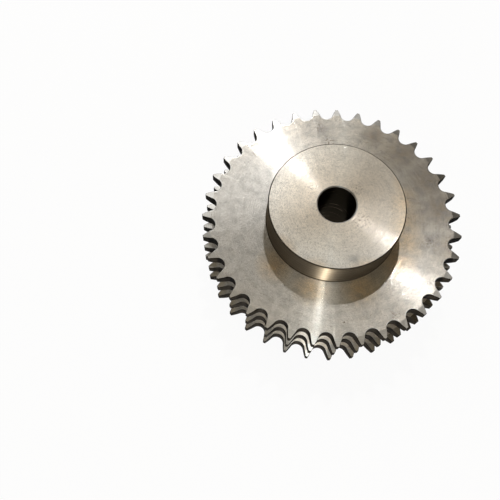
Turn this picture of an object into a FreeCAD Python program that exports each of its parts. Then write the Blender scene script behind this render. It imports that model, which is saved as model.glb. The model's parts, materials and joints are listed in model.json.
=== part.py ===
import FreeCAD, Part
import os
import re

import Sketcher

# Triple-strand roller-chain sprocket with a hub on one side, turned and cut from one
# piece of steel. The bore lies along Z, the flat rear face is on z = 0, the hub is on top.

NODE = "triple_sprocket"

# Driving sizes: counts, shares, then millimetres. The shares are those of the standard
# tooth form for roller chain: tip height over chain pitch, seat and flank over roller.
SIZES = {
    "teeth": 35,
    "rows": 3,
    "tip_share": 0.6,
    "seat_share": 0.505,
    "flank_share": 0.12,
    "chain_pitch": 19.05,
    "roller_diameter": 11.91,
    "row_pitch": 22.78,
    "tooth_width": 11.28,
    "bevel_width": 1.8,
    "groove_floor_diameter": 190.5,
    "hub_diameter": 112.7,
    "hub_projection": 28.88,
    "hub_edge_chamfer": 0.6,
    "bore_diameter": 31.75,
    "bore_chamfer": 0.9,
}

# The tooth form, in a tooth space centred on +Y: across is along X, out is along Y.
# The roller lies in the seat arc, whose centre is on the pitch circle. A flank arc that
# bends the other way rises from each end of it, and meets the flank of the next space in
# a point on the tooth's centre line, outside the turned tips.
TOOTH_FORM = {
    "half_step": "180deg / teeth",
    "pitch_radius": "chain_pitch / (2 * sin(half_step))",
    "tip_radius": "chain_pitch * (tip_share + 1 / tan(half_step)) / 2",
    "seat_half_angle": "70deg - 45deg / teeth",
    "seat_radius": "seat_share * roller_diameter",
    "seat_end_across": "seat_radius * sin(seat_half_angle)",
    "seat_end_out": "pitch_radius - seat_radius * cos(seat_half_angle)",
    "flank_radius": "flank_share * roller_diameter * (teeth + 2)",
    "flank_offset": "seat_radius + flank_radius",
    "flank_centre_across": "flank_offset * sin(seat_half_angle)",
    "flank_centre_out": "pitch_radius - flank_offset * cos(seat_half_angle)",
    "flank_centre_beside": "flank_centre_across * cos(half_step)"
                           " - flank_centre_out * sin(half_step)",
    "flank_centre_along": "flank_centre_across * sin(half_step)"
                          " + flank_centre_out * cos(half_step)",
    "point_radius": "flank_centre_along"
                    " + sqrt(flank_radius ^ 2 - flank_centre_beside ^ 2)",
    "point_across": "point_radius * sin(half_step)",
    "point_out": "point_radius * cos(half_step)",
}

# The turned form. The rims of each row are bevelled down to where the seat arcs end.
TURNED_FORM = {
    "bevel_radius": "sqrt(seat_end_across ^ 2 + seat_end_out ^ 2)",
    "floor_radius": "groove_floor_diameter / 2",
    "hub_radius": "hub_diameter / 2",
    "bore_radius": "bore_diameter / 2",
    "width_over_rows": "(rows - 1) * row_pitch + tooth_width",
    "length_through": "width_over_rows + hub_projection",
}

# Which way an arc of an outline bends, for someone who walks along it.
LEFT, RIGHT = 1, -1


def add_sheet(doc):
    """The sheet of sizes: the driving ones as plain numbers, the others as formulas."""
    sheet = doc.addObject("Spreadsheet::Sheet", "Sizes")
    cells = {name: str(value) for name, value in SIZES.items()}
    for name, formula in {**TOOTH_FORM, **TURNED_FORM}.items():
        cells[name] = f"={formula}"
    for row, (name, content) in enumerate(cells.items(), start=1):
        sheet.set(f"A{row}", name)
        sheet.set(f"B{row}", content)
        sheet.setAlias(f"B{row}", name)
    doc.recompute()


def from_sheet(formula):
    """The formula with each of its names taken from the sheet."""
    return re.sub("[a-z_]+", r"Sizes.\g<0>", formula)


def drive(feature, sizes):
    """Tie properties of a feature to sizes of the sheet."""
    for name, formula in sizes.items():
        feature.setExpression(name, from_sheet(formula))


def constrain(sketch, kind, places, formula):
    """Add a measured constraint to the sketch and tie it to sizes of the sheet."""
    value = float(sketch.evalExpression(from_sheet(formula)))
    index = sketch.addConstraint(Sketcher.Constraint(kind, *places, value))
    drive(sketch, {f"Constraints[{index}]": formula})


def origin_part(body, role):
    """The body's own origin plane or axis that has this role."""
    return next(item for item in body.Origin.OriginFeatures if item.Role == role)


def arc_edge(start, end, radius, bend):
    """The arc, shorter than half a circle, that runs from start to end."""
    chord = end - start
    to_centre = FreeCAD.Vector(-chord.y, chord.x, 0).normalize() * bend
    reach = (radius ** 2 - (chord.Length / 2) ** 2) ** 0.5
    centre = (start + end) / 2 + to_centre * reach
    circle = Part.Circle(centre, FreeCAD.Vector(0, 0, 1), radius)
    first, last = (start, end) if bend == LEFT else (end, start)
    return Part.ArcOfCircle(circle, circle.parameter(first), circle.parameter(last))


def add_outline(body, name, plane, corners):
    """A closed sketch on an origin plane, through corners whose two places are formulas.
    A corner that an arc leads to also has the arc's bend and the formula of its radius."""
    sketch = body.newObject("Sketcher::SketchObject", name)
    sketch.AttachmentSupport = [(origin_part(body, plane), "")]
    sketch.MapMode = "FlatFace"

    def value(formula):
        return float(sketch.evalExpression(from_sheet(formula)))

    places = [FreeCAD.Vector(value(across), value(up), 0) for across, up, *_ in corners]
    edges = []
    for index, (across, up, *arc) in enumerate(corners):
        start, end = places[index - 1], places[index]
        first, last = 1, 2
        if arc:
            bend, radius = arc
            edge = sketch.addGeometry(arc_edge(start, end, value(radius), bend))
            constrain(sketch, "Radius", [edge], radius)
            if bend == RIGHT:
                first, last = 2, 1
        else:
            edge = sketch.addGeometry(Part.LineSegment(start, end))
        constrain(sketch, "DistanceX", [-1, 1, edge, last], across)
        constrain(sketch, "DistanceY", [-1, 1, edge, last], up)
        edges.append((edge, first, last))
    for index, (edge, first, _) in enumerate(edges):
        before, _, end = edges[index - 1]
        sketch.addConstraint(Sketcher.Constraint("Coincident", before, end, edge, first))
    return sketch


def add_blank(body):
    """The turned blank: bore, plate with bevelled rims, and hub."""
    outline = add_outline(body, "BlankSection", "XZ_Plane", [
        ("bore_radius", "bore_chamfer"),
        ("bore_radius + bore_chamfer", "0"),
        ("bevel_radius", "0"),
        ("tip_radius", "bevel_width"),
        ("tip_radius", "width_over_rows - bevel_width"),
        ("bevel_radius", "width_over_rows"),
        ("hub_radius", "width_over_rows"),
        ("hub_radius", "length_through - hub_edge_chamfer"),
        ("hub_radius - hub_edge_chamfer", "length_through"),
        ("bore_radius + bore_chamfer", "length_through"),
        ("bore_radius", "length_through - bore_chamfer"),
    ])
    blank = body.newObject("PartDesign::Revolution", "Blank")
    blank.Profile = outline
    blank.ReferenceAxis = (outline, ["V_Axis"])
    blank.Angle = 360


def add_strand_grooves(body):
    """The turned grooves between the rows, each with the bevels of its two rims. The
    outline runs out past the tips, in the air."""
    outline = add_outline(body, "GrooveSection", "XZ_Plane", [
        ("floor_radius", "tooth_width"),
        ("bevel_radius", "tooth_width"),
        ("tip_radius", "tooth_width - bevel_width"),
        ("tip_radius + bevel_width", "tooth_width - bevel_width"),
        ("tip_radius + bevel_width", "row_pitch + bevel_width"),
        ("tip_radius", "row_pitch + bevel_width"),
        ("bevel_radius", "row_pitch"),
        ("floor_radius", "row_pitch"),
    ])
    groove = body.newObject("PartDesign::Groove", "StrandGroove")
    groove.Profile = outline
    groove.ReferenceAxis = (outline, ["V_Axis"])
    groove.Angle = 360

    row_copies = body.newObject("PartDesign::LinearPattern", "StrandGrooves")
    row_copies.Originals = [groove]
    row_copies.Direction = (origin_part(body, "Z_Axis"), [""])
    row_copies.Mode = "Spacing"
    drive(row_copies, {"Offset": "row_pitch", "Occurrences": "rows - 1"})
    body.Tip = row_copies


def add_tooth_spaces(body):
    """The tooth spaces, cut through all rows at once, so that the teeth are in line."""
    outline = add_outline(body, "ToothSpaceOutline", "XY_Plane", [
        ("-1 * seat_end_across", "seat_end_out", RIGHT, "flank_radius"),
        ("seat_end_across", "seat_end_out", LEFT, "seat_radius"),
        ("point_across", "point_out", RIGHT, "flank_radius"),
        ("-1 * point_across", "point_out", LEFT, "point_radius"),
    ])
    space = body.newObject("PartDesign::Pocket", "ToothSpace")
    space.Profile = outline
    space.Reversed = True
    drive(space, {"Length": "width_over_rows"})

    tooth_copies = body.newObject("PartDesign::PolarPattern", "ToothSpaces")
    tooth_copies.Originals = [space]
    tooth_copies.Axis = (origin_part(body, "Z_Axis"), [""])
    tooth_copies.Angle = 360
    drive(tooth_copies, {"Occurrences": "teeth"})
    body.Tip = tooth_copies


def check(doc, body):
    """Stop if a step failed, cut nothing or left anything but one sound solid."""
    doc.recompute()
    for item in doc.Objects:
        if {"Invalid", "Error"} & set(item.State):
            raise RuntimeError(f"{item.Name} failed: {item.State}")
    steps = [item.Shape for item in body.Group if item.isDerivedFrom("PartDesign::Feature")]
    volumes = [shape.Volume for shape in steps]
    if any(after >= before for before, after in zip(volumes, volumes[1:])):
        raise RuntimeError(f"a cut took nothing away: {volumes}")
    if body.Shape.isNull() or not body.Shape.isValid() or len(body.Shape.Solids) != 1:
        raise RuntimeError(f"{body.Label} isn't one sound solid")


def main():
    doc = FreeCAD.newDocument("Sprocket")
    add_sheet(doc)
    body = doc.addObject("PartDesign::Body", "Sprocket")
    body.Label = NODE
    add_blank(body)
    add_strand_grooves(body)
    add_tooth_spaces(body)
    check(doc, body)
    os.makedirs("parts", exist_ok=True)
    body.Shape.exportStep(f"parts/{body.Label}.step")


main()
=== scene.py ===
import json
import math

import bpy
import numpy as np
from mathutils import Matrix, Vector


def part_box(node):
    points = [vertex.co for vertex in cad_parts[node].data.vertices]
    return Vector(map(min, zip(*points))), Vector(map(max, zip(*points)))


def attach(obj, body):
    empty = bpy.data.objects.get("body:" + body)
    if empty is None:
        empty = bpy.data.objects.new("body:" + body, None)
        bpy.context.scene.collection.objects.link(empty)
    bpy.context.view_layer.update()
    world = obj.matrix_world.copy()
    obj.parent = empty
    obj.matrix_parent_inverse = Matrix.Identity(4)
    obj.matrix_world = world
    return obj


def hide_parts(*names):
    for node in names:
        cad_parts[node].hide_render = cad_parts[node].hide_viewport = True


# The looks of a triple-strand sprocket: one turned and hobbed piece of bright steel, with
# its hub up and its flat rear face on the floor. Lengths are in metres, except where
# millimetres are named.

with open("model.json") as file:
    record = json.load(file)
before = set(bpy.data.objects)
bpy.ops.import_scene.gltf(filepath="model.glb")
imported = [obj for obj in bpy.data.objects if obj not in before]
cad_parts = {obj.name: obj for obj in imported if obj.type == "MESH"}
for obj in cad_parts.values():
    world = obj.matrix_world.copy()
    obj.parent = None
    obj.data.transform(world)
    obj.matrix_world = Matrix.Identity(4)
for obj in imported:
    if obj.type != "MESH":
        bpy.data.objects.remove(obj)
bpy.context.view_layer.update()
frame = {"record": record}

MM = 0.001
NODE = "triple_sprocket"
MOUNTS = {mount["name"]: mount for mount in frame["record"]["mounts"]}

# The tooth form, as the chain sets it.
TEETH = MOUNTS["chain_rows"]["dims"]["count"]
STEP = 2 * math.pi / TEETH
PITCH_RADIUS = MOUNTS["chain_rows"]["dims"]["pcd_mm"] / 2 * MM
CHAIN_PITCH = 2 * PITCH_RADIUS * math.sin(STEP / 2)
TIP_SHARE = 0.6
TIP_RADIUS = CHAIN_PITCH * (TIP_SHARE + 1 / math.tan(STEP / 2)) / 2
ROLLER = 11.91 * MM
SEAT_RADIUS = 0.505 * ROLLER
SEAT_HALF_ANGLE = math.radians(70 - 45 / TEETH)
FLANK_RADIUS = 0.12 * ROLLER * (TEETH + 2)

# The turned form.
ROWS = 3
ROW_PITCH = 22.78 * MM
TOOTH_WIDTH = 11.28 * MM
BEVEL_WIDTH = 1.8 * MM
BEVEL_RADIUS = math.hypot(SEAT_RADIUS * math.sin(SEAT_HALF_ANGLE),
                          PITCH_RADIUS - SEAT_RADIUS * math.cos(SEAT_HALF_ANGLE))
FLOOR_RADIUS = 95.25 * MM
HUB_RADIUS = 56.35 * MM
BORE_RADIUS = MOUNTS["bore"]["dims"]["r_mm"] * MM
FRONT = (ROWS - 1) * ROW_PITCH + TOOTH_WIDTH
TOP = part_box(NODE)[1].z

# Small edges that a lathe leaves or a file breaks.
BORE_CHAMFER = 0.9 * MM
HUB_CHAMFER = 0.6 * MM
GROOVE_FILLET = 1.0 * MM
HUB_FILLET = 0.8 * MM
BROKEN_EDGE = 0.35 * MM

# How far the painted shade of the hub's end edge runs on past its chamfer, on both sides.
EDGE_SHADE_SPILL = 0.3 * MM

# How finely the arcs of a tooth space and of a fillet are divided.
SEAT_PARTS = 18
FLANK_PARTS = 5
TIP_PARTS = 3
FILLET_PARTS = 6

# Edges that bend more than this stay sharp.
SHARP_ANGLE = math.radians(12)

# Colours of the bare steel, and of what lies on it.
STEEL = (0.70, 0.69, 0.665)
HUB_STEEL = (0.92, 0.90, 0.85)
HUB_TARNISH = (0.50, 0.46, 0.41)
HUB_TAN = (0.84, 0.75, 0.62)
GREY_STAIN = (0.38, 0.37, 0.36)
TAN_STAIN_AND_GLOW = (0.80, 0.64, 0.44)
DARK_STAIN = (0.31, 0.255, 0.19)
SPECKLE = (0.40, 0.375, 0.34)
SPOT_STEEL = (0.75, 0.73, 0.68)
RING_STEEL = (0.47, 0.44, 0.40)
PIT = (0.20, 0.155, 0.11)
# The hub's side is painted far darker and browner than the faces, as painted shade for the dark
# warm room that it reflects.
SIDE_SHADED_STEEL = (0.09, 0.071, 0.046)
SIDE_STAIN = (0.05, 0.038, 0.023)
# The tooth spaces are painted near black: painted shade for the dark they reflect between the
# rows.
HOBBED_SHADE = (0.014, 0.012, 0.0095)
HOBBED_DEEP_SHADE = (0.003, 0.0026, 0.0022)
# The bore is painted near black: painted shade for the deep hole. Its scores are bright steel.
BORE_SHADE = (0.022, 0.015, 0.009)
BORE_DEEP_SHADE = (0.004, 0.003, 0.002)
BORE_BRIGHT = (0.30, 0.24, 0.19)
BEVEL_STEEL = (0.54, 0.535, 0.52)
BEVEL_DARK = (0.18, 0.175, 0.165)
# Soot on the bevels at the right. The same colour also serves as painted shade on the lower rows'
# rims.
BEVEL_SOOT_AND_SHADE = (0.07, 0.06, 0.048)
# The dark of the hub's end chamfer and foot fillet is painted shade: the chamfer reflects dark,
# and shadow gathers in the crease at the foot.
EDGE_SHADE = (0.02, 0.016, 0.012)

# What tints the reflections at a grazing angle, on the hub's side and in the bore. On the hub's
# side the brown tint darkens them, as painted shade.
SIDE_SHADE_TINT = (0.50, 0.41, 0.29)
BORE_TINT = (0.72, 0.68, 0.61)

# The studio's light by the height of the direction, from the horizon up.
WORLD_BANDS = (
    (0.0, (0.36, 0.34, 0.31)),
    (0.05, (0.27, 0.25, 0.22)),
    (0.15, (0.07, 0.055, 0.035)),
    (0.72, (0.09, 0.07, 0.042)),
    (0.95, (0.42, 0.345, 0.225)),
)

# The floor: half its width, its matte colour, and how much of it shows as plain white.
FLOOR_HALF = 3.0
FLOOR_MATTE = (0.85, 0.85, 0.85)
FLOOR_WHITE_SHARE = 0.94

# The lamps. Each has the direction it stands in, its two sizes, its watts and its colour.
LAMP_DISTANCE = 1.5
LAMPS = {
    "key_lamp": ((0.04, 0.545, 0.838), (0.03, 0.03), 6.6, (1, 1, 0.99)),
    "front_lamp": ((0.015, -0.42, 0.907), (0.04, 0.04), 1.8, (0.84, 0.95, 1)),
    "low_lamp": ((-0.11, -1.0, 0.001), (0.08, 0.012), 46, (1, 0.95, 0.85)),
    "side_lamp": ((-0.40, -0.70, 0.60), (1.0, 0.4), 1.6, (1, 0.98, 0.94)),
    "window_lamp": ((-0.28, 0.69, 0.67), (1.4, 0.8), 8.1, (1, 0.985, 0.96)),
    "top_lamp": ((0.05, 0.70, 0.70), (0.6, 0.6), 0.7, (1, 0.99, 0.97)),
}

# The camera, fitted to the photo: its place, and which ways are forward and up for it.
CAMERA_PLACE = (-0.08015, -0.21533, 0.51464)
CAMERA_FORWARD = (0.00328, 0.30668, -0.9518)
CAMERA_UP = (-0.00215, 0.9518, 0.3067)

# Marks on the front faces: across, up and size in millimetres. The size of a scratch is
# its length, and its direction in degrees comes after it.
PIT_CLUSTERS = ((1, 77, 9), (-6, 92, 8), (82, -20, 8), (-20, 15, 6), (17, 13, 6), (19, -15, 9),
                (48, -84, 6))
SPOTS = ((79.4, 39.2, 0.9), (46, 66, 1.0), (10.4, -91, 1.2))
DENTS = ((5.7, -91.3, 0.8), (-42, -60, 0.6))
GREY_PATCHES = ((-6, 90, 18), (12, -49, 8), (82, -20, 12), (48, -84, 9))
# The tan patches that ring the hub are partly tan stain and partly painted light: the warm glow
# that the hub's side throws onto the face.
TAN_GLOW_PATCHES = ((62, 0, 22), (60, -20, 22), (62, 18, 18), (54, -38, 18), (20, -62, 18),
               (-20, -62, 18), (-50, -42, 18))
DARK_PATCHES = ((94, 8, 30), (86, 38, 30), (66, 66, 28), (42, 82, 15), (102, -24, 24))
SCRATCHES = ((-66, 63, 6.5, -49),)

# Half the width of a scratch in millimetres, at its full depth and at its rims.
SCRATCH_HALF_WIDTHS = (0.15, 0.4)

# Painted shade on the rims of the lower rows at the lower right, where the rows above shade them,
# placed and sized as the marks are.
ROW_SHADE_SPOTS = ((76, -76, 60),)

# Roughness of the rings that the tool left dull and of those it left polished. The dull
# ones of the hub's end and the polished ones of its side have their own.
DULL = 0.72
HUB_DULL = 0.82
POLISHED = 0.2
SIDE_POLISHED = 0.44

# Scale of the noise that tells those rings apart, per metre.
FINE_RINGS = 40000

# How far the finest marks of the tool tilt the faces across the rings, and their scale.
LEAN = 2.2
LEAN_RINGS = 31000

# A highlight on turned steel runs square to the marks of the tool.
QUARTER_TURN = 0.25

# Regions of the surface, each with its own finish.
FACE, HUB_SIDE, TOOTH_SPACE, BORE, RIM, EDGE = range(6)


def tooth_space_outline():
    """Polar angle and radius of points along one tooth space and the tip after it, from
    the start of its seat up to that of the next one, for a space centred on angle 0."""
    seat = np.linspace(-SEAT_HALF_ANGLE, SEAT_HALF_ANGLE, SEAT_PARTS + 1)
    across = SEAT_RADIUS * np.sin(seat)
    out = PITCH_RADIUS - SEAT_RADIUS * np.cos(seat)
    reach = SEAT_RADIUS + FLANK_RADIUS
    centre = np.array([reach * math.sin(SEAT_HALF_ANGLE),
                       PITCH_RADIUS - reach * math.cos(SEAT_HALF_ANGLE)])
    distance = math.hypot(*centre)
    spread = distance ** 2 + FLANK_RADIUS ** 2 - TIP_RADIUS ** 2
    turn_at_tip = math.acos(spread / (2 * distance * FLANK_RADIUS))
    toward_origin = math.atan2(-centre[1], -centre[0])
    start = math.atan2(out[-1] - centre[1], across[-1] - centre[0])
    end = toward_origin - turn_at_tip
    turns = np.linspace(start % (2 * math.pi), end % (2 * math.pi), FLANK_PARTS + 1)[1:]
    flank = centre + FLANK_RADIUS * np.column_stack([np.cos(turns), np.sin(turns)])
    angles = np.concatenate([np.arctan2(across, out), np.arctan2(flank[:, 0], flank[:, 1])])
    radii = np.concatenate([np.hypot(across, out), np.hypot(flank[:, 0], flank[:, 1])])
    tip = np.linspace(angles[-1], STEP - angles[-1], TIP_PARTS + 1)[1:]
    other_flank = STEP - angles[-2:-2 - FLANK_PARTS:-1]
    angles = np.concatenate([angles, tip, other_flank])[:-1]
    radii = np.concatenate([radii, np.full(TIP_PARTS, TIP_RADIUS), radii[-2:-2 - FLANK_PARTS:-1]])
    return angles, radii[:-1]


def rim_outline():
    """Angles and radii right round the teeth, and how much wider than an edge break the
    cut along each spoke is, so that the break has the same width square to the outline."""
    angles, radii = tooth_space_outline()
    all_angles = np.concatenate([math.pi / 2 + k * STEP + angles for k in range(TEETH)])
    all_radii = np.tile(radii, TEETH)
    x, y = all_radii * np.cos(all_angles), all_radii * np.sin(all_angles)
    along = np.column_stack([np.roll(x, -1) - np.roll(x, 1), np.roll(y, -1) - np.roll(y, 1)])
    along /= np.linalg.norm(along, axis=1)[:, None]
    outward = np.column_stack([along[:, 1], -along[:, 0]])
    radial = np.column_stack([np.cos(all_angles), np.sin(all_angles)])
    slant = np.abs((outward * radial).sum(axis=1))
    return all_angles, all_radii, 1 / slant


def fillet(centre_radius, centre_height, size, start, end):
    """Places in the half section along a quarter round of this size about its centre, from
    one direction to another, in degrees."""
    turns = np.radians(np.linspace(start, end, FILLET_PARTS + 1))
    return [(centre_radius + size * math.cos(t), centre_height + size * math.sin(t))
            for t in turns]


def bevel_height(radius):
    """How far the bevel has fallen back from the side face of a row at this radius."""
    rise = (radius - BEVEL_RADIUS) / (TIP_RADIUS - BEVEL_RADIUS) * BEVEL_WIDTH
    return np.maximum(rise, 0)


def half_section(radii, widening):
    """The half section along every spoke, once round the ring, as rings of radii and
    heights, and the region between each ring and the next."""
    count = len(radii)
    rings = []

    def ring(radius, height, region):
        rings.append((np.broadcast_to(radius, count), np.broadcast_to(height, count), region))

    def plain(places, region):
        for radius, height in places:
            ring(radius, height, region)

    edge = BROKEN_EDGE * widening
    inner_edge = radii - edge
    bevel_start = np.minimum(BEVEL_RADIUS, inner_edge - edge)
    ring(BORE_RADIUS, BORE_CHAMFER, FACE)
    ring(BORE_RADIUS + BORE_CHAMFER, 0, FACE)
    for row in range(ROWS):
        low, high = row * ROW_PITCH, row * ROW_PITCH + TOOTH_WIDTH
        ring(bevel_start, low, RIM)
        ring(inner_edge, low + bevel_height(inner_edge), TOOTH_SPACE)
        ring(radii, low + bevel_height(radii) + BROKEN_EDGE, TOOTH_SPACE)
        ring(radii, high - bevel_height(radii) - BROKEN_EDGE, TOOTH_SPACE)
        ring(inner_edge, high - bevel_height(inner_edge), RIM)
        ring(bevel_start, high, FACE)
        if row < ROWS - 1:
            inside = FLOOR_RADIUS + GROOVE_FILLET
            plain(fillet(inside, high + GROOVE_FILLET, GROOVE_FILLET, 270, 180), FACE)
            plain(fillet(inside, high + ROW_PITCH - TOOTH_WIDTH - GROOVE_FILLET,
                         GROOVE_FILLET, 180, 90), FACE)
    foot = fillet(HUB_RADIUS + HUB_FILLET, FRONT + HUB_FILLET, HUB_FILLET, 270, 180)
    plain(foot[:1], FACE)
    # The fillet at the hub's foot and the chamfer at the hub's end, with a band beside it, carry
    # painted shade.
    plain(foot[1:-1], EDGE)
    plain(foot[-1:], HUB_SIDE)
    ring(HUB_RADIUS, TOP - HUB_CHAMFER - EDGE_SHADE_SPILL, EDGE)
    ring(HUB_RADIUS, TOP - HUB_CHAMFER, EDGE)
    ring(HUB_RADIUS - HUB_CHAMFER, TOP, EDGE)
    ring(HUB_RADIUS - HUB_CHAMFER - EDGE_SHADE_SPILL, TOP, FACE)
    ring(BORE_RADIUS + BORE_CHAMFER, TOP, RIM)
    ring(BORE_RADIUS, TOP - BORE_CHAMFER, BORE)
    return rings


def build_sprocket():
    """The whole surface as one closed grid of spokes and rings."""
    angles, radii, widening = rim_outline()
    rings = half_section(radii, widening)
    spokes = len(angles)
    places = np.zeros((len(rings), spokes, 3))
    for index, (radius, height, _) in enumerate(rings):
        places[index, :, 0] = radius * np.cos(angles)
        places[index, :, 1] = radius * np.sin(angles)
        places[index, :, 2] = height
    numbers = np.arange(len(rings) * spokes).reshape(len(rings), spokes)
    after = np.roll(numbers, -1, axis=0)
    corners = np.stack([numbers, np.roll(numbers, -1, axis=1),
                        np.roll(after, -1, axis=1), after], axis=-1)
    mesh = bpy.data.meshes.new("sprocket")
    mesh.from_pydata(places.reshape(-1, 3).tolist(), [], corners.reshape(-1, 4).tolist())
    regions = np.repeat([region for _, _, region in rings], spokes)
    mesh.polygons.foreach_set("material_index", regions.astype(np.int32))
    mesh.update()
    return mesh


class Finish:
    """A material of one shader, and the nodes that feed it."""

    def __init__(self, name, metallic, anisotropic=0.0):
        self.material = bpy.data.materials.new(name)
        self.material.use_nodes = True
        self.tree = self.material.node_tree
        self.shader = self.tree.nodes["Principled BSDF"]
        self.place = self.add("ShaderNodeTexCoord").outputs["Object"]
        self.feed(self.shader, {"Metallic": metallic, "Anisotropic": anisotropic})
        if anisotropic:
            round_the_axis = self.add("ShaderNodeTangent", direction_type="RADIAL", axis="Z")
            self.feed(self.shader, {"Tangent": round_the_axis.outputs["Tangent"],
                                    "Anisotropic Rotation": QUARTER_TURN})

    def add(self, kind, inputs=(), **settings):
        """A node with these settings, whose inputs are values or other nodes' outputs."""
        node = self.tree.nodes.new(kind)
        for name, value in settings.items():
            setattr(node, name, value)
        self.feed(node, dict(inputs))
        return node

    def feed(self, node, inputs):
        for name, value in inputs.items():
            if isinstance(value, bpy.types.NodeSocket):
                self.tree.links.new(value, node.inputs[name])
            else:
                node.inputs[name].default_value = value

    def math(self, operation, *values):
        return self.add("ShaderNodeMath", enumerate(values), operation=operation).outputs[0]

    def away_from_axis(self):
        """The place as seen from the nearest point of the Z axis."""
        return self.add("ShaderNodeVectorMath", {0: self.place, 1: (1, 1, 0)},
                        operation="MULTIPLY").outputs[0]

    def axis_distance(self):
        """Distance from the Z axis."""
        return self.add("ShaderNodeVectorMath", {0: self.away_from_axis()},
                        operation="LENGTH").outputs["Value"]

    def height(self):
        return self.add("ShaderNodeSeparateXYZ", {0: self.place}).outputs["Z"]

    def noise(self, per_metre, detail=2.0, along=None, stretch=(1, 1, 1)):
        """Noise from 0 to 1 over the surface, or along one measure if one is given."""
        if along is not None:
            return self.add("ShaderNodeTexNoise", {"W": along, "Scale": per_metre,
                                                   "Detail": detail},
                            noise_dimensions="1D").outputs["Fac"]
        place = self.add("ShaderNodeVectorMath", {0: self.place, 1: stretch},
                         operation="MULTIPLY").outputs[0]
        return self.add("ShaderNodeTexNoise", {"Vector": place, "Scale": per_metre,
                                               "Detail": detail}).outputs["Fac"]

    def ramp(self, value, low, high, at_low=0.0, at_high=1.0):
        """The value carried from one range to another, and held at its ends."""
        return self.add("ShaderNodeMapRange", {"Value": value, "From Min": low,
                                               "From Max": high, "To Min": at_low,
                                               "To Max": at_high}).outputs["Result"]

    def mix(self, share, first, second):
        """A colour between two colours."""
        node = self.add("ShaderNodeMix", {"Factor": share}, data_type="RGBA")
        for name, color in (("A", first), ("B", second)):
            socket = next(s for s in node.inputs if s.name == name and s.type == "RGBA")
            if isinstance(color, bpy.types.NodeSocket):
                self.tree.links.new(color, socket)
            else:
                socket.default_value = (*color, 1)
        return next(s for s in node.outputs if s.type == "RGBA")

    def front_place(self):
        """Millimetres across and up a face that looks forward."""
        return self.add("ShaderNodeVectorMath", {0: self.place, 1: (1 / MM, 1 / MM, 0)},
                        operation="MULTIPLY").outputs[0]

    def blots(self, spots, softness=0.5):
        """1 inside any of the round spots and 0 outside them, softened at the rim."""
        place = self.front_place()
        total = 0.0
        for across, up, size in spots:
            gap = self.add("ShaderNodeVectorMath", {0: place, 1: (across, up, 0)},
                           operation="DISTANCE").outputs["Value"]
            spot = self.ramp(gap, size * (1 - softness), size, 1, 0)
            total = self.math("MAXIMUM", total, spot)
        return total

    def scratches(self, lines):
        """1 on the scratches. Each has its middle, its length and its direction."""
        total = 0.0
        core, rim = SCRATCH_HALF_WIDTHS
        for across, up, length, direction in lines:
            turned = self.add("ShaderNodeMapping", {
                "Vector": self.front_place(), "Location": (across, up, 0),
                "Rotation": (0, 0, math.radians(direction))}, vector_type="TEXTURE")
            split = self.add("ShaderNodeSeparateXYZ", {0: turned.outputs[0]})
            along = self.math("ABSOLUTE", split.outputs["X"])
            beside = self.math("ABSOLUTE", split.outputs["Y"])
            line = self.math("MULTIPLY", self.ramp(along, length * 0.4, length / 2, 1, 0),
                             self.ramp(beside, core, rim, 1, 0))
            total = self.math("MAXIMUM", total, line)
        return total

    def from_height(self, height):
        """1 from this height above the floor on up, 0 under it."""
        return self.ramp(self.height(), height - 0.2 * MM, height - 0.1 * MM)

    def lean(self, across, noise, spread):
        """Tilt the surface across the tool's rings by a fine noise, as their flanks do, so
        that a lamp's highlight runs far across the rings and stays thin along them."""
        amount = self.math("MULTIPLY", self.math("SUBTRACT", noise, 0.5), spread)
        direction = self.add("ShaderNodeVectorTransform", {"Vector": across},
                             convert_from="OBJECT", convert_to="WORLD").outputs[0]
        direction = self.add("ShaderNodeVectorMath", {0: direction}, operation="NORMALIZE")
        tilt = self.add("ShaderNodeVectorMath", {0: direction.outputs[0], "Scale": amount},
                        operation="SCALE").outputs[0]
        normal = self.add("ShaderNodeNewGeometry").outputs["Normal"]
        normal = self.add("ShaderNodeVectorMath", {0: normal, 1: tilt}).outputs[0]
        normal = self.add("ShaderNodeVectorMath", {0: normal}, operation="NORMALIZE")
        self.feed(self.shader, {"Normal": normal.outputs[0]})

    def bump(self, height, depth):
        """Small relief from a height of 0 to 1, and how many metres the whole of it is."""
        node = self.add("ShaderNodeBump", {"Height": height, "Distance": depth,
                                           "Strength": 1.0})
        self.feed(self.shader, {"Normal": node.outputs["Normal"]})


def face_steel(finish, radius, hub):
    """The bare steel of the faces. The hub's end is tan round the bore, and more tarnished
    the further right."""
    color = finish.mix(hub, STEEL, HUB_STEEL)
    near_bore = finish.ramp(radius, 0.4 * HUB_RADIUS, 0.9 * HUB_RADIUS, 0.65, 0)
    color = finish.mix(finish.math("MULTIPLY", hub, near_bore), color, HUB_TAN)
    rightward = finish.add("ShaderNodeSeparateXYZ", {0: finish.place}).outputs["X"]
    tarnish = finish.ramp(rightward, -0.6 * HUB_RADIUS, 0.5 * HUB_RADIUS, 0, 0.48)
    return finish.mix(finish.math("MULTIPLY", hub, tarnish), color, HUB_TARNISH)


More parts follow.
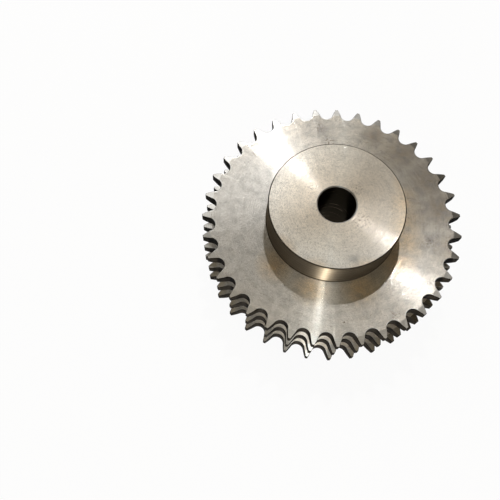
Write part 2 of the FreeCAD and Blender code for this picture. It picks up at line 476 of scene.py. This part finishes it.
def add_stains(finish, color, front, hub):
    """The colour under tan, dark and grey stains, with dirt in the mottle over them. The tan
    round the hub is partly stain and partly a painted glow of the light that the hub's side
    throws onto the face.
    """
    wide = finish.noise(9, detail=2)
    blotches = finish.noise(24, detail=4)
    mottle = finish.noise(170, detail=7)
    tan = finish.math("MULTIPLY", finish.blots(TAN_GLOW_PATCHES, 1), front)
    brown = finish.math("MULTIPLY", finish.blots(DARK_PATCHES, 1), front)
    grey = finish.math("MULTIPLY", finish.blots(GREY_PATCHES, 1), front)
    color = finish.mix(finish.ramp(wide, 0.4, 0.62, 0, 0.18), color, TAN_STAIN_AND_GLOW)
    # Painted glow of the light that the hub's side throws, partly tan stain.
    color = finish.mix(tan, color, TAN_STAIN_AND_GLOW)
    uneven = finish.ramp(blotches, 0.3, 0.6, 0.6, 1)
    color = finish.mix(finish.math("MULTIPLY", brown, uneven), color, DARK_STAIN)
    grey = finish.math("MULTIPLY", grey, finish.ramp(mottle, 0.35, 0.6, 0.35, 1))
    color = finish.mix(grey, color, GREY_STAIN)
    on_brown = finish.math("MULTIPLY", brown, 0.5)
    amount = finish.math("ADD", finish.ramp(hub, 0, 1, 0.5, 0.2), on_brown)
    dirt = finish.math("MULTIPLY", finish.ramp(mottle, 0.42, 0.68), amount)
    return finish.mix(dirt, color, GREY_STAIN)


def add_marks(finish, color, front, radius):
    """The colour under fine specks and the tool's rings, with pits, dents, scratches and
    bright spots over them."""
    specks = finish.noise(650, detail=3)
    rings = finish.noise(1100, detail=3, along=radius)
    near_pits = finish.math("MULTIPLY", finish.blots(PIT_CLUSTERS, 0.8), front)
    pits = finish.math("MULTIPLY", near_pits, finish.ramp(specks, 0.52, 0.62))
    dents = finish.math("MULTIPLY", finish.blots(DENTS), front)
    lines = finish.math("MULTIPLY", finish.scratches(SCRATCHES), front)
    spots = finish.math("MULTIPLY", finish.blots(SPOTS), front)
    color = finish.mix(finish.ramp(specks, 0.45, 0.75, 0, 0.55), color, SPECKLE)
    color = finish.mix(finish.ramp(rings, 0.35, 0.8, 0, 0.25), color, RING_STEEL)
    dark = finish.math("MAXIMUM", finish.math("MULTIPLY", pits, 0.75), dents)
    dark = finish.math("MAXIMUM", dark, finish.math("MULTIPLY", lines, 0.6))
    color = finish.mix(dark, color, PIT)
    return finish.mix(finish.math("MULTIPLY", spots, 0.6), color, SPOT_STEEL)


def turned_face():
    """Bright faces off the lathe. The tool left some of its fine rings polished and the
    others dull, so that a lamp shows both as a thin streak across the rings and as a wide
    glow. The hub has fewer polished rings, most of all round its bore."""
    finish = Finish("turned_face", metallic=0.95, anisotropic=1.0)
    radius = finish.axis_distance()
    front = finish.from_height(FRONT)
    hub = finish.from_height(TOP)
    color = face_steel(finish, radius, hub)
    color = add_stains(finish, color, front, hub)
    color = add_marks(finish, color, front, radius)
    finish.feed(finish.shader, {"Base Color": color})
    fine_rings = finish.noise(FINE_RINGS, detail=0, along=radius)
    fewer = finish.ramp(radius, 0.5 * HUB_RADIUS, HUB_RADIUS, 0.16, 0.05)
    fewer = finish.math("MULTIPLY", hub, fewer)
    polish = finish.ramp(finish.math("SUBTRACT", fine_rings, fewer), 0.55, 0.63)
    dull = finish.ramp(hub, 0, 1, DULL, HUB_DULL)
    finish.feed(finish.shader, {"Roughness": finish.ramp(polish, 0, 1, dull, POLISHED)})
    finest = finish.noise(LEAN_RINGS, detail=0, along=radius)
    finish.lean(finish.away_from_axis(), finest, LEAN)
    return finish.material


def turned_side():
    """The hub's side, turned too, but painted much darker and browner than the faces: painted
    shade for the dark warm room that it reflects.
    """
    finish = Finish("turned_side", metallic=0.95, anisotropic=1.0)
    finish.feed(finish.shader, {"Specular Tint": (*SIDE_SHADE_TINT, 1)})
    rings = finish.noise(900, detail=3, along=finish.height())
    stains = finish.noise(30, detail=5)
    color = finish.mix(finish.ramp(stains, 0.4, 0.75), SIDE_SHADED_STEEL, SIDE_STAIN)
    color = finish.mix(finish.ramp(rings, 0.35, 0.8, 0, 0.3), color, RING_STEEL)
    finish.feed(finish.shader, {"Base Color": color})
    fine_rings = finish.noise(FINE_RINGS, detail=0, along=finish.height())
    roughness = finish.ramp(fine_rings, 0.41, 0.51, DULL, SIDE_POLISHED)
    finish.feed(finish.shader, {"Roughness": roughness})
    return finish.material


def hobbed_space():
    """Tooth spaces as the hob leaves them, with marks across the width. They are painted near
    black, with their reflections held down, as painted shade for the dark they reflect between
    the rows.
    """
    finish = Finish("hobbed_space", metallic=0.05)
    finish.feed(finish.shader, {"Specular IOR Level": 0.05, "IOR": 1.1})
    marks = finish.noise(420, detail=3, stretch=(0.6, 0.6, 2.4))
    dark_mottle = finish.noise(160, detail=5)
    color = finish.mix(finish.ramp(dark_mottle, 0.35, 0.65), HOBBED_SHADE, HOBBED_DEEP_SHADE)
    finish.feed(finish.shader, {"Base Color": color})
    finish.feed(finish.shader, {"Roughness": finish.ramp(marks, 0.3, 0.7, 0.35, 0.6)})
    finish.bump(marks, 0.15 * MM)
    return finish.material


def bored_wall():
    """The bore: painted near black as painted shade for the deep hole, with the tool's rings and
    a few bright scores.
    """
    finish = Finish("bored_wall", metallic=0.9, anisotropic=0.9)
    finish.feed(finish.shader, {"Roughness": 0.4, "Specular IOR Level": 0.1,
                                "Specular Tint": (*BORE_TINT, 1)})
    rings = finish.noise(700, detail=3, along=finish.height())
    scores = finish.ramp(finish.noise(500, detail=2, along=finish.height()), 0.62, 0.70)
    patches = finish.ramp(finish.noise(90, detail=3), 0.50, 0.60)
    color = finish.mix(finish.ramp(rings, 0.3, 0.7), BORE_SHADE, BORE_DEEP_SHADE)
    color = finish.mix(finish.math("MULTIPLY", scores, patches), color, BORE_BRIGHT)
    finish.feed(finish.shader, {"Base Color": color})
    finish.bump(rings, 0.01 * MM)
    return finish.material


def turned_bevel():
    """The bevelled rims of the rows, and the chamfer at the upper end of the bore. They are sooty
    at the right, and on the lower rows they carry painted shade at the lower right, where the
    rows above shade them."""
    finish = Finish("turned_bevel", metallic=0.95, anisotropic=0.9)
    rings = finish.noise(1500, detail=2, along=finish.axis_distance())
    dark_mottle = finish.noise(60, detail=4)
    color = finish.mix(finish.ramp(rings, 0.3, 0.7, 0, 0.3), BEVEL_STEEL, BEVEL_DARK)
    color = finish.mix(finish.ramp(dark_mottle, 0.45, 0.75, 0, 0.7), color, BEVEL_DARK)
    color = finish.mix(finish.blots(DARK_PATCHES, 1), color, BEVEL_SOOT_AND_SHADE)
    lower = finish.math("SUBTRACT", 1, finish.from_height(FRONT - TOOTH_WIDTH))
    # Painted shade on the lower rows at the lower right, where the rows above shade them.
    row_shade = finish.math("MULTIPLY", finish.blots(ROW_SHADE_SPOTS, 1), lower)
    color = finish.mix(row_shade, color, BEVEL_SOOT_AND_SHADE)
    finish.feed(finish.shader, {"Base Color": color, "Roughness": 0.36})
    return finish.material


def shaded_edge():
    """The chamfer at the hub's end, with a narrow band on both sides of it, and the fillet at the
    hub's foot, all painted dark: painted shade for the dark that the chamfer reflects and for the
    shadow in the crease at the foot."""
    finish = Finish("shaded_edge", metallic=0.1)
    finish.feed(finish.shader, {"Base Color": (*EDGE_SHADE, 1), "Roughness": 0.5,
                                "IOR": 1.1})
    return finish.material


def add_camera():
    camera = bpy.data.cameras.new("camera")
    camera.lens = 42.13
    camera.sensor_width = 36
    camera.shift_x = 0.0196
    camera.shift_y = 0.0890
    view = bpy.data.objects.new("camera", camera)
    bpy.context.scene.collection.objects.link(view)
    forward = Vector(CAMERA_FORWARD).normalized()
    side = forward.cross(Vector(CAMERA_UP)).normalized()
    up = side.cross(forward)
    turn = Matrix((side, up, -forward)).transposed()
    view.matrix_world = Matrix.Translation(CAMERA_PLACE) @ turn.to_4x4()
    bpy.context.scene.camera = view


def add_lamps():
    """Rectangular lamps that look at the middle of the front face."""
    aim = Vector((0, 0, FRONT))
    for name, (direction, size, power, color) in LAMPS.items():
        lamp = bpy.data.lights.new(name, "AREA")
        lamp.shape = "RECTANGLE"
        lamp.size, lamp.size_y = size
        lamp.energy = power
        lamp.color = color
        item = bpy.data.objects.new(name, lamp)
        item.location = aim + Vector(direction).normalized() * LAMP_DISTANCE
        item.rotation_mode = "QUATERNION"
        item.rotation_quaternion = (item.location - aim).to_track_quat("Z", "Y")
        item.visible_camera = False
        bpy.context.scene.collection.objects.link(item)


def add_world():
    """A light ceiling, darker walls and a pale horizon, by the height of the direction."""
    world = bpy.data.worlds.new("studio")
    bpy.context.scene.world = world
    world.use_nodes = True
    tree = world.node_tree
    direction = tree.nodes.new("ShaderNodeTexCoord").outputs["Generated"]
    split = tree.nodes.new("ShaderNodeSeparateXYZ")
    tree.links.new(direction, split.inputs[0])
    ramp = tree.nodes.new("ShaderNodeValToRGB")
    tree.links.new(split.outputs["Z"], ramp.inputs["Fac"])
    elements = ramp.color_ramp.elements
    for _ in range(len(WORLD_BANDS) - 2):
        elements.new(0.5)
    for element, (height, color) in zip(elements, WORLD_BANDS):
        element.position = height
        element.color = (*color, 1)
    tree.links.new(ramp.outputs["Color"], tree.nodes["Background"].inputs["Color"])


def add_floor():
    """A pale floor that shows almost white and keeps a faint shadow."""
    mesh = bpy.data.meshes.new("floor")
    signs = ((-1, -1), (1, -1), (1, 1), (-1, 1))
    corners = [(x * FLOOR_HALF, y * FLOOR_HALF, 0) for x, y in signs]
    mesh.from_pydata(corners, [], [(0, 1, 2, 3)])
    material = bpy.data.materials.new("floor")
    material.use_nodes = True
    tree = material.node_tree
    tree.nodes.remove(tree.nodes["Principled BSDF"])
    matte = tree.nodes.new("ShaderNodeBsdfDiffuse")
    matte.inputs["Color"].default_value = (*FLOOR_MATTE, 1)
    white = tree.nodes.new("ShaderNodeEmission")
    path = tree.nodes.new("ShaderNodeLightPath")
    seen = path.outputs["Is Camera Ray"]
    for name in ("Is Glossy Ray", "Is Transmission Ray"):
        either = tree.nodes.new("ShaderNodeMath")
        either.operation = "MAXIMUM"
        tree.links.new(seen, either.inputs[0])
        tree.links.new(path.outputs[name], either.inputs[1])
        seen = either.outputs[0]
    share = tree.nodes.new("ShaderNodeMath")
    share.operation = "MULTIPLY"
    tree.links.new(seen, share.inputs[0])
    share.inputs[1].default_value = FLOOR_WHITE_SHARE
    mixed = tree.nodes.new("ShaderNodeMixShader")
    tree.links.new(share.outputs[0], mixed.inputs[0])
    tree.links.new(matte.outputs[0], mixed.inputs[1])
    tree.links.new(white.outputs[0], mixed.inputs[2])
    tree.links.new(mixed.outputs[0], tree.nodes["Material Output"].inputs["Surface"])
    mesh.materials.append(material)
    floor = bpy.data.objects.new("floor", mesh)
    bpy.context.scene.collection.objects.link(floor)


def main():
    mesh = build_sprocket()
    for finish in (turned_face, turned_side, hobbed_space, bored_wall, turned_bevel,
                   shaded_edge):
        mesh.materials.append(finish())
    mesh.polygons.foreach_set("use_smooth", [True] * len(mesh.polygons))
    mesh.set_sharp_from_angle(angle=SHARP_ANGLE)
    sprocket = bpy.data.objects.new("sprocket", mesh)
    bpy.context.scene.collection.objects.link(sprocket)
    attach(sprocket, "root")
    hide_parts(NODE)
    add_world()
    add_floor()
    add_lamps()
    add_camera()
    bpy.context.scene.view_settings.view_transform = "Standard"


main()
